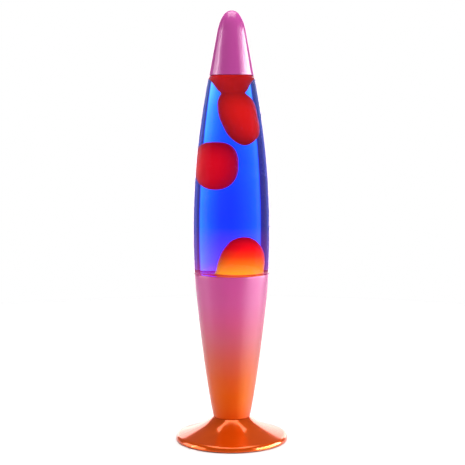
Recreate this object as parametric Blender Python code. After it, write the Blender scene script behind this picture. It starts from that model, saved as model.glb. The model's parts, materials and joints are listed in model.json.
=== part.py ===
"""A lava lamp, built the way the real one comes apart.

A flared foot and a conical body hold an E14 reflector lamp. A bottle of liquid and wax
stands in the body's lip, and a spun cap stands on the bottle's shoulder.

Units are metres, +Z is up, and the origin is the middle of the foot's underside.
The front of the lamp faces -Y. The cord's inlet is at the back, +Y.
"""

import math

import bmesh
import bpy
from mathutils import Matrix, Vector

# Clearances
GAP = 0.0003  # between pieces that rest on or screw against each other
SLIP = 0.0005  # radial, between pieces that a hand lifts apart
SWING = 0.0015  # between the bottle and what it passes inside the body

# The stack, from the floor to the tip
FOOT_HEIGHT = 0.0220
BODY_HEIGHT = 0.1360
BOTTLE_SHOWN = 0.1830  # glass between the body's lip and the cap's rim
CAP_HEIGHT = 0.0590

# Foot and its underside
FOOT_RADIUS = 0.0525
FOOT_WALL = 0.0008
FOOT_RIM = 0.0035  # width of the turned-down edge
FOOT_RIM_HEIGHT = 0.0058
FOOT_SWEEP = (0.297, 0.575)  # where the flare bends: share of its width, share of its height
RUBBER_WIDTH = 0.0045
RUBBER_HEIGHT = 0.0020
COVER_WALL = 0.0008
COVER_DISH_RADIUS = 0.0190
COVER_DISH_DEPTH = 0.0058
VENT_COUNT = 6
VENT_RADIUS = 0.0025
VENT_CIRCLE = 0.0320

# Body
NECK_RADIUS = 0.0173
BODY_WALL = 0.0010
BODY_BEND = 0.32  # share of the body's height where its side bends most
GROMMET_HEIGHT = 0.0060  # above the body's floor
GROMMET_RADIUS = 0.0048
GROMMET_HOLE = 0.0036
GROMMET_BORE = 0.0024
GROMMET_LIP = 0.0007

# Bottle
BELLY_RADIUS = 0.0362
BELLY_HEIGHT = 0.0385  # above the body's lip
GLASS_WALL = 0.0040
BOTTLE_DEPTH = 0.0285  # how far the bottle reaches below the lip
BOTTLE_PUNT = 0.0020
HEEL_RISE = 0.0030  # chamfer inside the bottle's heel
BOTTLE_NECK_RADIUS = 0.0120
BOTTLE_NECK_HEIGHT = 0.0125  # above the cap's rim
BOTTLE_BORE = 0.0080
FINISH_RADIUS = 0.0132  # the bead that the crown grips
FINISH_HEIGHT = 0.0040

# Crown closure
CROWN_WALL = 0.0004
CROWN_SKIRT = 0.0055
CROWN_FLARE = 0.0018
CROWN_FLUTES = 21
LINER_HEIGHT = 0.0008

# Cap
CAP_RIM_RADIUS = 0.02110
CAP_WALL = 0.0012
CAP_NOSE_RADIUS = 0.0134
CAP_NOSE_HEIGHT = 0.0405  # above the cap's rim

# Wax. Widths are shares of the bore, because the blobs press against it.
FLOAT_RADIUS = 0.0168
FLOAT_SHARE = 0.119  # half its height, as a share of the glass shown
FLOAT_LEVEL = 0.543  # its middle, as a share of the glass shown
FLOAT_BEARING = math.radians(195)  # from +X, seen from above
POOL_DEPTH = 0.0018  # top of the settled wax, below the lip
# (share of the glass shown, x, y and radius as shares of the bore)
DROP_SECTIONS = [
    (0.980, 0.00, 0.00, 0.93),
    (0.968, 0.00, -0.06, 0.82),
    (0.945, 0.01, -0.12, 0.67),
    (0.919, 0.03, -0.15, 0.53),
    (0.904, 0.05, -0.15, 0.43),
    (0.884, 0.10, -0.15, 0.53),
    (0.861, 0.13, -0.15, 0.59),
    (0.836, 0.16, -0.15, 0.61),
    (0.785, 0.21, -0.15, 0.58),
    (0.742, 0.28, -0.15, 0.53),
    (0.696, 0.33, -0.15, 0.43),
    (0.665, 0.34, -0.15, 0.26),
    (0.645, 0.34, -0.15, 0.10),
]
MOUND_SECTIONS = [
    (0.009, 0.18, -0.10, 0.56),
    (0.026, 0.20, -0.10, 0.55),
    (0.057, 0.22, -0.10, 0.54),
    (0.087, 0.24, -0.10, 0.51),
    (0.118, 0.25, -0.10, 0.46),
    (0.148, 0.26, -0.10, 0.37),
    (0.172, 0.26, -0.10, 0.26),
    (0.189, 0.27, -0.10, 0.08),
]

# Wire coil that lies in the wax at the bottom of the bottle
COIL_TURN_RADIUS = 0.0020
COIL_TURNS = 18
COIL_WIRE = 0.0004

# Lampholder and its fixing
TUBE_RADIUS = 0.0050
TUBE_BORE = 0.0038
NUT_ACROSS_FLATS = 0.0140
NUT_HEIGHT = 0.0030
WASHER_RADIUS = 0.0085
WASHER_HEIGHT = 0.0008
HOLDER_RADIUS = 0.0132
HOLDER_WALL = 0.0015
HOLDER_BOTTOM = 0.0080  # above the body's floor
HOLDER_DOME = 0.0080
HOLDER_HEIGHT = 0.0380
CORE_FLOOR = 0.0040

# Lamp: a 39 mm reflector bulb on a small Edison base
THREAD_RADIUS = 0.00655
THREAD_WAVE = 0.00035
THREAD_PITCH = 0.00282
THREAD_LENGTH = 0.0155
THREAD_FIT = 0.0006
HOLDER_THREAD = 0.0100
SHELL_WALL = 0.0004
BULB_LENGTH = 0.0660
BULB_RADIUS = 0.0195
BULB_WALL = 0.0007
BULB_NECK = 0.0062
BULB_BASE = 0.0235  # from the tip to the top of the thread shell
TIP_RADIUS = 0.0024
TIP_HEIGHT = 0.0012
INSULATOR_HEIGHT = 0.0042
LEAD_RADIUS = 0.0004
FILAMENT_RADIUS = 0.0004

# Facets round each kind of piece
SHELL_SIDES = 32
SMALL_SIDES = 20
NUT_SIDES = 12

# Levels that follow from the stack
FLOOR_Z = FOOT_HEIGHT + GAP + BODY_WALL  # inside of the body's bottom
LIP_Z = FOOT_HEIGHT + BODY_HEIGHT
RIM_Z = LIP_Z + BOTTLE_SHOWN
TOP_Z = RIM_Z + CAP_HEIGHT
BELLY_Z = LIP_Z + BELLY_HEIGHT
BOTTLE_Z = LIP_Z - BOTTLE_DEPTH
SHOULDER_Z = RIM_Z - GAP
SHOULDER_RADIUS = CAP_RIM_RADIUS + GAP
HOLDER_Z = FLOOR_Z + HOLDER_BOTTOM
CORE_Z = HOLDER_Z + HOLDER_DOME
BULB_Z = CORE_Z + CORE_FLOOR + 3 * GAP + 2 * THREAD_PITCH / 3


# ---------------------------------------------------------------- outlines


def bezier(*controls, steps):
    """Points along a Bezier curve through (radius, height) controls."""
    points = []
    for step in range(steps + 1):
        t = step / steps
        row = [Vector(c) for c in controls]
        while len(row) > 1:
            row = [a.lerp(b, t) for a, b in zip(row, row[1:])]
        points.append(row[0])
    return points


def offset(path, distance):
    """An open path shifted to the right of its travel, with mitred corners."""
    points = [Vector(p) for p in path]
    ways = [(b - a).normalized() for a, b in zip(points, points[1:])]
    ways = [ways[0]] + ways + [ways[-1]]
    shifted = []
    for point, before, after in zip(points, ways, ways[1:]):
        side = Vector((before.y + after.y, -before.x - after.x)).normalized()
        reach = distance / max(side.dot(Vector((after.y, -after.x))), 0.5)
        moved = point + side * reach
        moved.x = max(moved.x, 0.0) if point.x > 0 else 0.0
        shifted.append(moved)
    return shifted


def sheet(path, wall):
    """The section of a sheet whose outer face follows the path."""
    return list(path) + offset(path, wall)[::-1]


def bottle_radius(z):
    """Outside of the glass: one arc from the lip through the belly to the shoulder."""
    drop = BELLY_RADIUS - SHOULDER_RADIUS
    rise = SHOULDER_Z - BELLY_Z
    arc = (rise**2 + drop**2) / (2 * drop)
    return BELLY_RADIUS - arc + math.sqrt(arc**2 - (z - BELLY_Z) ** 2)


def bore_radius(z):
    """Inside of the glass above the lip, less the liquid's clearance."""
    return bottle_radius(z) - GLASS_WALL - GAP


LIP_RADIUS = bottle_radius(LIP_Z)
SEAT_RADIUS = LIP_RADIUS - BODY_WALL - SLIP
BOTTLE_FLOOR_Z = BOTTLE_Z + GLASS_WALL + BOTTLE_PUNT


def body_side(steps):
    """Outside of the body from its lip down to its neck."""
    bend = ((LIP_RADIUS + NECK_RADIUS) / 2, FOOT_HEIGHT + GAP + BODY_BEND * BODY_HEIGHT)
    return bezier((LIP_RADIUS, LIP_Z), bend, (NECK_RADIUS, FOOT_HEIGHT + GAP), steps=steps)


def body_radius(z):
    """Outside radius of the body at a height, read from its side."""
    side = body_side(40)
    for above, below in zip(side, side[1:]):
        if below.y <= z <= above.y:
            return below.x + (above.x - below.x) * (z - below.y) / (above.y - below.y)
    return NECK_RADIUS


BOTTLE_FOOT_RADIUS = body_radius(BOTTLE_Z) - BODY_WALL - SWING


# ---------------------------------------------------------------- mesh tools


def clear_scene():
    for old in list(bpy.data.objects):
        bpy.data.objects.remove(old, do_unlink=True)


def material(name, colour, roughness, metallic=0.0):
    """A plain Principled material, made once and shared by name."""
    if name in bpy.data.materials:
        return bpy.data.materials[name]
    made = bpy.data.materials.new(name)
    made.use_nodes = True
    shader = made.node_tree.nodes["Principled BSDF"]
    shader.inputs["Base Color"].default_value = (*colour, 1.0)
    shader.inputs["Roughness"].default_value = roughness
    shader.inputs["Metallic"].default_value = metallic
    made.diffuse_color = (*colour, 1.0)
    return made


def place(name, bm, look, parent=None, location=(0, 0, 0), crease=35):
    """Turn a bmesh into a named object, shaded smooth with its edges kept sharp."""
    bmesh.ops.remove_doubles(bm, verts=bm.verts, dist=1e-6)
    bmesh.ops.recalc_face_normals(bm, faces=bm.faces)
    mesh = bpy.data.meshes.new(name)
    bm.to_mesh(mesh)
    bm.free()
    mesh.materials.append(look)
    mesh.shade_smooth()
    mesh.set_sharp_from_angle(angle=math.radians(crease))
    made = bpy.data.objects.new(name, mesh)
    made.location = location
    made.parent = parent
    bpy.context.collection.objects.link(made)
    return made


def spun(outline, sides, ring=True):
    """Spin a (radius, height) outline about Z. A ring joins its last point to its first."""
    bm = bmesh.new()
    verts = [bm.verts.new((r, 0, z)) for r, z in outline]
    edges = [bm.edges.new(pair) for pair in zip(verts, verts[1:])]
    if ring:
        edges.append(bm.edges.new((verts[-1], verts[0])))
    bmesh.ops.spin(bm, geom=verts + edges, axis=(0, 0, 1), cent=(0, 0, 0),
                   angle=math.tau, steps=sides, use_merge=True)
    return bm


def block(inner, outer, bottom, top):
    """Outline of a plain ring."""
    return [(inner, top), (outer, top), (outer, bottom), (inner, bottom)]


def lofted(sections, sides):
    """A closed blob through level circles (x, y, z, radius)."""
    bm = bmesh.new()
    before = None
    for section in sections:
        ends = section in (sections[0], sections[-1])
        ring = bmesh.ops.create_circle(bm, cap_ends=ends, radius=section[3], segments=sides,
                                       matrix=Matrix.Translation(section[:3]))["verts"]
        edges = [edge for edge in bm.edges if edge.verts[0] in ring and edge.verts[1] in ring]
        if before:
            bmesh.ops.bridge_loops(bm, edges=before + edges)
        before = edges
    return bm


def cutter(name, bm):
    """A hidden solid that only cuts others."""
    made = place(name, bm, material("cutter", (0.5, 0.5, 0.5), 0.5))
    made.hide_render = True
    made.display_type = "WIRE"
    return made


def cut(target, tool):
    """Take the tool's volume out of the target."""
    change = target.modifiers.new(tool.name, "BOOLEAN")
    change.operation = "DIFFERENCE"
    change.solver = "EXACT"
    change.object = tool


def wire(name, points, radius, look, parent, closed=False):
    """A round wire along the points, with flat ends unless it closes on itself."""
    curve = bpy.data.curves.new(name, "CURVE")
    curve.dimensions = "3D"
    curve.bevel_depth = radius
    curve.bevel_resolution = 0
    curve.use_fill_caps = not closed
    spline = curve.splines.new("POLY")
    spline.points.add(len(points) - 1)
    for slot, point in zip(spline.points, points):
        slot.co = (*point, 1.0)
    spline.use_cyclic_u = closed
    curve.materials.append(look)
    made = bpy.data.objects.new(name, curve)
    made.parent = parent
    bpy.context.collection.objects.link(made)
    return made


def axis(name, location, parent=None):
    """An empty that marks a body's joint."""
    made = bpy.data.objects.new(name, None)
    made.empty_display_size = 0.01
    made.location = location
    made.parent = parent
    bpy.context.collection.objects.link(made)
    return made


# ---------------------------------------------------------------- materials


def orange_paint():
    return material("orange_lacquer", (0.62, 0.14, 0.02), 0.25)


def pink_paint():
    return material("pink_lacquer", (0.48, 0.09, 0.30), 0.30)


def black_plastic():
    return material("black_plastic", (0.02, 0.02, 0.022), 0.45)


def rubber():
    return material("black_rubber", (0.03, 0.03, 0.03), 0.8)


def steel():
    return material("zinc_steel", (0.60, 0.60, 0.58), 0.35, 1.0)


def brass():
    return material("brass", (0.72, 0.50, 0.20), 0.3, 1.0)


def porcelain():
    return material("porcelain", (0.85, 0.83, 0.78), 0.35)


def glass():
    return material("bottle_glass", (0.25, 0.12, 0.55), 0.02)


def bulb_glass():
    return material("bulb_glass", (0.85, 0.85, 0.85), 0.05)


def liquid():
    return material("blue_liquid", (0.02, 0.10, 0.80), 0.02)


def wax():
    return material("red_wax", (0.80, 0.02, 0.02), 0.4)


# ---------------------------------------------------------------- foot


def foot():
    """Flared pressing with a turned-down rim and a flat top for the fixing tube."""
    width = FOOT_RADIUS - FOOT_RIM - NECK_RADIUS
    fall = FOOT_HEIGHT - FOOT_RIM_HEIGHT
    edge = (FOOT_RADIUS - FOOT_RIM, FOOT_RIM_HEIGHT)
    bend = (NECK_RADIUS + FOOT_SWEEP[0] * width, FOOT_HEIGHT - FOOT_SWEEP[1] * fall)
    flare = bezier((NECK_RADIUS + GAP, FOOT_HEIGHT - GAP), bend, edge, steps=7)
    low = RUBBER_HEIGHT / 2
    rim = bezier(edge, (FOOT_RADIUS, edge[1] - FOOT_RIM / 3), (FOOT_RADIUS, low), steps=4)
    path = [(TUBE_RADIUS + SLIP, FOOT_HEIGHT), (NECK_RADIUS, FOOT_HEIGHT)]
    return place("foot", spun(sheet(path + flare + rim[1:], FOOT_WALL), SHELL_SIDES), orange_paint())


def rubber_foot_ring():
    """Ring that the lamp stands on, tucked inside the foot's rim."""
    outer = FOOT_RADIUS - FOOT_WALL - SLIP
    path = block(outer - RUBBER_WIDTH, outer, 0.0, RUBBER_HEIGHT - GAP)
    return place("rubber_foot_ring", spun(path, SHELL_SIDES), rubber())


def vent_cutter():
    """Round vents in the bottom cover."""
    bm = bmesh.new()
    for index in range(VENT_COUNT):
        angle = math.tau * (index + 0.5) / VENT_COUNT
        spot = (VENT_CIRCLE * math.cos(angle), VENT_CIRCLE * math.sin(angle), RUBBER_HEIGHT)
        bmesh.ops.create_cone(bm, cap_ends=True, segments=10, radius1=VENT_RADIUS, radius2=VENT_RADIUS,
                              depth=8 * COVER_WALL, matrix=Matrix.Translation(spot))
    return cutter("vent_cutter", bm)


def bottom_cover():
    """Disc that closes the foot, dished in the middle so that its nut clears the table."""
    outer = FOOT_RADIUS - FOOT_WALL - SLIP - RUBBER_WIDTH - SLIP
    low = RUBBER_HEIGHT
    high = low + COVER_DISH_DEPTH
    path = [
        (TUBE_RADIUS + SLIP, high),
        (COVER_DISH_RADIUS - COVER_DISH_DEPTH, high),
        (COVER_DISH_RADIUS, low),
        (outer, low),
    ]
    made = place("bottom_cover", spun(sheet(path, COVER_WALL), SHELL_SIDES), black_plastic())
    cut(made, vent_cutter())
    return made


def nut(name, bottom, look):
    """Hexagon nut on the fixing tube."""
    bm = spun(block(TUBE_RADIUS + GAP, NUT_ACROSS_FLATS / 2, bottom, bottom + NUT_HEIGHT), NUT_SIDES)
    for vert in bm.verts:
        if vert.co.xy.length > (TUBE_RADIUS + NUT_ACROSS_FLATS / 2) / 2:
            turn = math.atan2(vert.co.y, vert.co.x) % (math.pi / 3) - math.pi / 6
            vert.co.xy *= 1 / math.cos(turn)
    return place(name, bm, look)


def washer(name, bottom, look):
    path = block(TUBE_RADIUS + GAP, WASHER_RADIUS, bottom, bottom + WASHER_HEIGHT)
    return place(name, spun(path, SMALL_SIDES), look)


def fixing():
    """Threaded tube that ties the cover, foot, body and lampholder together."""
    cover_face = RUBBER_HEIGHT + COVER_DISH_DEPTH - COVER_WALL
    washer("bottom_washer", cover_face - GAP - WASHER_HEIGHT, steel())
    nut("bottom_nut", cover_face - 2 * GAP - WASHER_HEIGHT - NUT_HEIGHT, steel())
    foot_face = FOOT_HEIGHT - FOOT_WALL
    nut("foot_nut", foot_face - GAP - NUT_HEIGHT, steel())
    washer("body_washer", FLOOR_Z + GAP, steel())
    nut("body_nut", FLOOR_Z + 2 * GAP + WASHER_HEIGHT, steel())
    low = cover_face - 3 * GAP - WASHER_HEIGHT - NUT_HEIGHT
    path = block(TUBE_BORE, TUBE_RADIUS, low, CORE_Z - 2 * GAP)
    place("threaded_tube", spun(path, SMALL_SIDES), steel())


# ---------------------------------------------------------------- body


def base_body():
    """Conical pressing with a flat floor and a plain lip that the bottle stands on."""
    floor = FOOT_HEIGHT + GAP
    outer = body_side(9) + [Vector((TUBE_RADIUS + SLIP, floor))]
    inner = offset(outer, BODY_WALL)
    inner[0].y = LIP_Z
    made = place("base_body", spun(outer + inner[::-1], SHELL_SIDES), pink_paint())
    cut(made, grommet_cutter())
    return made


def grommet_frame():
    """Frame in the body's back wall, its Z axis square to the wall and outward."""
    level = FLOOR_Z + GROMMET_HEIGHT
    low, high = level - GROMMET_RADIUS, level + GROMMET_RADIUS
    lean = math.atan2(body_radius(high) - body_radius(low), high - low)
    middle = Matrix.Translation((0, body_radius(level) - BODY_WALL / 2, level))
    return middle @ Matrix.Rotation(-math.pi / 2 - lean, 4, "X")


def grommet_cutter():
    bm = bmesh.new()
    reach = GROMMET_HOLE + GAP
    bmesh.ops.create_cone(bm, cap_ends=True, segments=SMALL_SIDES, radius1=reach, radius2=reach,
                          depth=2 * GROMMET_RADIUS, matrix=grommet_frame())
    return cutter("inlet_cutter", bm)


def cord_grommet():
    """Rubber bush in the body's back wall. Its groove clears the wall's curve."""
    recess = NECK_RADIUS - math.sqrt(NECK_RADIUS**2 - GROMMET_RADIUS**2)
    half = BODY_WALL / 2 + recess + GAP
    path = [
        (GROMMET_BORE, half + GROMMET_LIP),
        (GROMMET_RADIUS - GROMMET_LIP, half + GROMMET_LIP),
        (GROMMET_RADIUS, half),
        (GROMMET_HOLE, half),
        (GROMMET_HOLE, -half),
        (GROMMET_RADIUS, -half),
        (GROMMET_RADIUS - GROMMET_LIP, -half - GROMMET_LIP),
        (GROMMET_BORE, -half - GROMMET_LIP),
    ]
    bm = spun(path, SMALL_SIDES)
    bmesh.ops.transform(bm, verts=bm.verts, matrix=grommet_frame())
    return place("cord_grommet", bm, rubber())


# ---------------------------------------------------------------- lampholder


def thread(bm, low, high, radius, lift, runout):
    """Turn the straight wall at a radius into a right-handed Edison thread.

    Lift puts the wall's own heights into the lamp's frame, so that both threads share one
    helix. At its ends the wave runs out to its crest, 1, or its root, -1.
    """
    for vert in bm.verts:
        if abs(vert.co.xy.length - radius) < GAP / 3 and low <= vert.co.z <= high:
            fade = min(1.0, (vert.co.z - low) / THREAD_PITCH * 2, (high - vert.co.z) / THREAD_PITCH * 2)
            turn = (vert.co.z + lift) / THREAD_PITCH * math.tau - math.atan2(vert.co.y, vert.co.x)
            wave = fade * math.cos(turn) + (1 - fade) * runout
            vert.co.xy *= 1 + THREAD_WAVE * wave / radius


def rows(low, high, count):
    return [low + (high - low) * step / count for step in range(count + 1)]


def lampholder_dome():
    """Lower half of the holder, screwed onto the fixing tube."""
    top = CORE_Z - GAP
    path = [
        (HOLDER_RADIUS, top),
        (HOLDER_RADIUS, HOLDER_Z + HOLDER_DOME / 2),
        (HOLDER_RADIUS * 0.75, HOLDER_Z),
        (TUBE_RADIUS + GAP, HOLDER_Z),
    ]
    return place("lampholder_dome", spun(sheet(path, HOLDER_WALL), SMALL_SIDES), black_plastic())


def lampholder_sleeve():
    """Upper half of the holder, a plain tube round the core."""
    path = block(HOLDER_RADIUS - HOLDER_WALL, HOLDER_RADIUS, CORE_Z, HOLDER_Z + HOLDER_HEIGHT)
    return place("lampholder_sleeve", spun(path, SMALL_SIDES), black_plastic())


def lampholder_core():
    """Porcelain cup that carries the contacts."""
    inner = THREAD_RADIUS + THREAD_FIT + THREAD_WAVE + SHELL_WALL + GAP
    outer = HOLDER_RADIUS - HOLDER_WALL - GAP
    path = [
        (0, CORE_Z + CORE_FLOOR),
        (inner, CORE_Z + CORE_FLOOR),
        (inner, HOLDER_Z + HOLDER_HEIGHT - SLIP),
        (outer, HOLDER_Z + HOLDER_HEIGHT - SLIP),
        (outer, CORE_Z + GAP),
        (0, CORE_Z + GAP),
    ]
    return place("lampholder_core", spun(path, SMALL_SIDES, ring=False), porcelain())


def lampholder_thread_shell():
    """Brass shell that the lamp screws into."""
    radius = THREAD_RADIUS + THREAD_FIT
    low = BULB_Z + INSULATOR_HEIGHT
    high = HOLDER_Z + HOLDER_HEIGHT - 2 * SLIP
    start = high - HOLDER_THREAD
    levels = rows(start, high, round(HOLDER_THREAD / THREAD_PITCH * 4))
    outer = radius + THREAD_WAVE + SHELL_WALL
    path = [(radius + THREAD_WAVE, low)] + [(radius, z) for z in levels] + [(outer, high), (outer, low)]
    bm = spun(path, SMALL_SIDES)
    thread(bm, start, high, radius, 0.0, 1)
    return place("lampholder_thread_shell", bm, brass(), crease=60)


def lampholder_contact():
    """Centre contact: a stud on the core's floor under the lamp's tip."""
    low = CORE_Z + CORE_FLOOR + GAP
    path = [(0, BULB_Z - GAP), (TIP_RADIUS, BULB_Z - GAP), (TIP_RADIUS, low), (0, low)]
    return place("lampholder_contact", spun(path, NUT_SIDES, ring=False), brass())


def terminal_screw(name, side):
    """Wire clamp screw under the core, its head in the dome's hollow."""
    head = CORE_Z
    path = [(0, head), (0.0016, head), (0.0016, head - 0.0014), (0, head - 0.0014)]
    spot = (side * 0.0080, 0, 0)
    return place(name, spun(path, 10, ring=False), steel(), location=spot)


def lampholder():
    lampholder_dome()
    lampholder_sleeve()
    lampholder_core()
    lampholder_thread_shell()
    lampholder_contact()
    terminal_screw("terminal_screw_left", -1)
    terminal_screw("terminal_screw_right", 1)


# ---------------------------------------------------------------- lamp


def bulb_tip_contact(parent):
    """Solder tip that rides up with the lamp."""
    path = [
        (0, TIP_HEIGHT),
        (TIP_RADIUS, TIP_HEIGHT),
        (TIP_RADIUS * 0.8, TIP_HEIGHT * 0.3),
        (0, 0),
    ]
    return place("bulb_tip_contact", spun(path, NUT_SIDES, ring=False), steel(), parent)


def bulb_insulator(parent):
    """Glass button between the tip and the thread shell."""
    low = TIP_HEIGHT + GAP
    path = [
        (0, INSULATOR_HEIGHT - GAP),
        (THREAD_RADIUS - THREAD_WAVE, INSULATOR_HEIGHT - GAP),
        (TIP_RADIUS * 1.3, low),
        (0, low),
    ]
    return place("bulb_insulator", spun(path, SMALL_SIDES, ring=False), black_plastic(), parent)


def bulb_thread_shell(parent):
    """Threaded shell of the lamp, open at both ends."""
    low, high = INSULATOR_HEIGHT, INSULATOR_HEIGHT + THREAD_LENGTH
    inner = THREAD_RADIUS - THREAD_WAVE - SHELL_WALL
    levels = rows(high, low, round(THREAD_LENGTH / THREAD_PITCH * 4))
    skirt = BULB_NECK + BULB_WALL + SHELL_WALL
    path = [(skirt - SHELL_WALL, BULB_BASE), (skirt, BULB_BASE)]
    path += [(THREAD_RADIUS, z) for z in levels] + [(inner, low), (inner, high)]
    bm = spun(path, SMALL_SIDES)
    thread(bm, low, high, THREAD_RADIUS, BULB_Z, -1)
    return place("bulb_thread_shell", bm, steel(), parent, crease=60)


def bulb_envelope(parent):
    """Reflector envelope: a neck that opens into a cone, closed by a shallow dome."""
    low = INSULATOR_HEIGHT + THREAD_LENGTH + GAP
    neck = (BULB_NECK, BULB_BASE + 0.002)
    widest = BULB_LENGTH - 0.55 * BULB_RADIUS
    cone = bezier(neck, (BULB_NECK, neck[1] + 0.010), (BULB_RADIUS, widest - 0.012),
                  (BULB_RADIUS, widest), steps=6)
    dome = bezier((BULB_RADIUS, widest), (BULB_RADIUS, BULB_LENGTH), (0, BULB_LENGTH), steps=5)
    path = [(THREAD_RADIUS - THREAD_WAVE - SHELL_WALL - GAP, low)] + cone + dome[1:]
    path = sheet([Vector(p) for p in path][::-1], BULB_WALL)
    return place("bulb_envelope", spun(path, SMALL_SIDES, ring=False), bulb_glass(), parent)


def bulb_filament(parent):
    """Glass stem, two leads and the coiled filament between them."""
    foot_z = INSULATOR_HEIGHT + GAP
    head_z = BULB_BASE + 0.006
    stem = [(0, head_z), (0.0016, head_z), (0.0022, foot_z + 0.004), (0.0040, foot_z), (0, foot_z)]
    place("bulb_stem", spun(stem, NUT_SIDES, ring=False), bulb_glass(), parent)
    reach = 0.0060
    top = BULB_LENGTH - BULB_RADIUS
    for name, side in (("bulb_lead_left", -1), ("bulb_lead_right", 1)):
        route = bezier((side * 0.0030, head_z - 0.004), (side * 0.0032, head_z + 0.006),
                       (side * reach, top), steps=5)
        wire(name, [(p.x, 0, p.y) for p in route], LEAD_RADIUS, steel(), parent)
    arch = []
    for step in range(9):
        angle = math.pi * step / 8
        arch.append((-reach * math.cos(angle), 0, top + 0.0010 + 0.0030 * math.sin(angle)))
    wire("bulb_filament", arch, FILAMENT_RADIUS, steel(), parent)


def bulb():
    """The lamp. It rises by a pitch for each turn, so it rides on its own screw axis."""
    rise = axis("bulb_rise_axis", (0, 0, BULB_Z))
    turn = axis("bulb_turn_axis", (0, 0, 0), rise)
    bulb_tip_contact(rise)
    bulb_insulator(turn)
    bulb_thread_shell(turn)
    bulb_envelope(turn)
    bulb_filament(turn)


# ---------------------------------------------------------------- bottle


def bottle_outside():
    """Outside of the bottle from the middle of its base up to its mouth."""
    foot_radius = BOTTLE_FOOT_RADIUS
    ledge = LIP_Z + GAP
    base = [(0, BOTTLE_Z + BOTTLE_PUNT), (0.8 * foot_radius, BOTTLE_Z)]
    heel = bezier((0.88 * foot_radius, BOTTLE_Z), (foot_radius, BOTTLE_Z),
                  (foot_radius, BOTTLE_Z + 0.0035), steps=3)
    seat = [(SEAT_RADIUS, LIP_Z - SLIP), (SEAT_RADIUS, ledge)]
    rise = SHOULDER_Z - FINISH_HEIGHT / 2 - ledge
    side = [(bottle_radius(ledge + rise * step / 9), ledge + rise * step / 9) for step in range(10)]
    inside_cap = CAP_RIM_RADIUS - CAP_WALL - SLIP
    shoulder = [(SHOULDER_RADIUS, SHOULDER_Z - 0.0006), (SHOULDER_RADIUS - 0.0006, SHOULDER_Z)]
    shoulder += [(inside_cap, SHOULDER_Z), (inside_cap - 0.0012, SHOULDER_Z + 0.0010)]
    mouth = RIM_Z + BOTTLE_NECK_HEIGHT
    neck = [(BOTTLE_NECK_RADIUS + 0.0010, SHOULDER_Z + 0.0040), (BOTTLE_NECK_RADIUS, SHOULDER_Z + 0.0058)]
    neck += [(BOTTLE_NECK_RADIUS, mouth - FINISH_HEIGHT), (FINISH_RADIUS, mouth - FINISH_HEIGHT + 0.0008)]
    neck += [(FINISH_RADIUS, mouth - 0.0008), (FINISH_RADIUS - 0.0008, mouth)]
    return base + heel + seat + side + shoulder + neck


def bottle_inside():
    """Inside of the bottle from its mouth down to the middle of its floor."""
    mouth = RIM_Z + BOTTLE_NECK_HEIGHT
    top = SHOULDER_Z - GLASS_WALL / 2
    fall = top - LIP_Z
    neck = [(BOTTLE_BORE, mouth), (BOTTLE_BORE, SHOULDER_Z + 0.0030), (BOTTLE_BORE + 0.0030, SHOULDER_Z + 0.0004)]
    side = [(bottle_radius(top - fall * step / 9) - GLASS_WALL, top - fall * step / 9) for step in range(10)]
    corner = BOTTLE_FOOT_RADIUS - GLASS_WALL
    heel = [
        (corner, BOTTLE_FLOOR_Z + HEEL_RISE),
        (corner - HEEL_RISE, BOTTLE_FLOOR_Z),
        (0, BOTTLE_FLOOR_Z),
    ]
    return neck + side + heel


def glass_globe():
    path = bottle_outside() + bottle_inside()
    return place("glass_globe", spun(path, SHELL_SIDES, ring=False), glass())


def drop_top():
    """Height where the risen wax first fills the bore."""
    return SHOULDER_Z - GLASS_WALL / 2 - SLIP


def wax_drop(grow):
    """Risen wax under the shoulder with a drop hanging from it. Grow widens it all round."""
    top = drop_top()
    ceiling = SHOULDER_Z - GLASS_WALL / 2
    sections = [(0, 0, ceiling + 2 * grow, bore_radius(ceiling) + grow), (0, 0, top, bore_radius(top) + grow)]
    for share, x, y, wide in DROP_SECTIONS:
        z = LIP_Z + share * BOTTLE_SHOWN
        bore = bore_radius(z)
        sections.append((x * bore, y * bore, z - grow * (1 - wide), wide * bore + grow))
    return lofted(sections, 24)


def wax_mound(grow):
    """Settled wax with a mound rising from it. Grow widens it all round."""
    floor = BOTTLE_FLOOR_Z + GAP
    heel = BOTTLE_FLOOR_Z + HEEL_RISE
    pool = LIP_Z - POOL_DEPTH
    corner = BOTTLE_FOOT_RADIUS - GLASS_WALL - GAP
    taper = (bore_radius(LIP_Z) - corner) / (LIP_Z - heel)
    sections = [
        (0, 0, floor - grow, corner - HEEL_RISE + grow),
        (0, 0, heel + GAP, corner + grow),
        (0, 0, pool + grow, corner + taper * (pool - heel) + grow),
    ]
    for share, x, y, wide in MOUND_SECTIONS:
        z = LIP_Z + share * BOTTLE_SHOWN
        bore = bore_radius(z)
        sections.append((x * bore, y * bore, z + grow * (1 - wide), wide * bore + grow))
    return lofted(sections, SHELL_SIDES)


def float_place():
    """Middle of the free blob, pressed against the bore."""
    z = LIP_Z + FLOAT_LEVEL * BOTTLE_SHOWN
    reach = bore_radius(z) - FLOAT_RADIUS - GAP / 3
    return (reach * math.cos(FLOAT_BEARING), reach * math.sin(FLOAT_BEARING), z)


def wax_float(grow):
    """Free blob, an upright egg about its own middle."""
    bm = bmesh.new()
    bmesh.ops.create_uvsphere(bm, u_segments=20, v_segments=12, radius=1.0)
    wide = FLOAT_RADIUS + grow
    bmesh.ops.scale(bm, verts=bm.verts, vec=(wide, wide, FLOAT_SHARE * BOTTLE_SHOWN + grow))
    return bm


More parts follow.
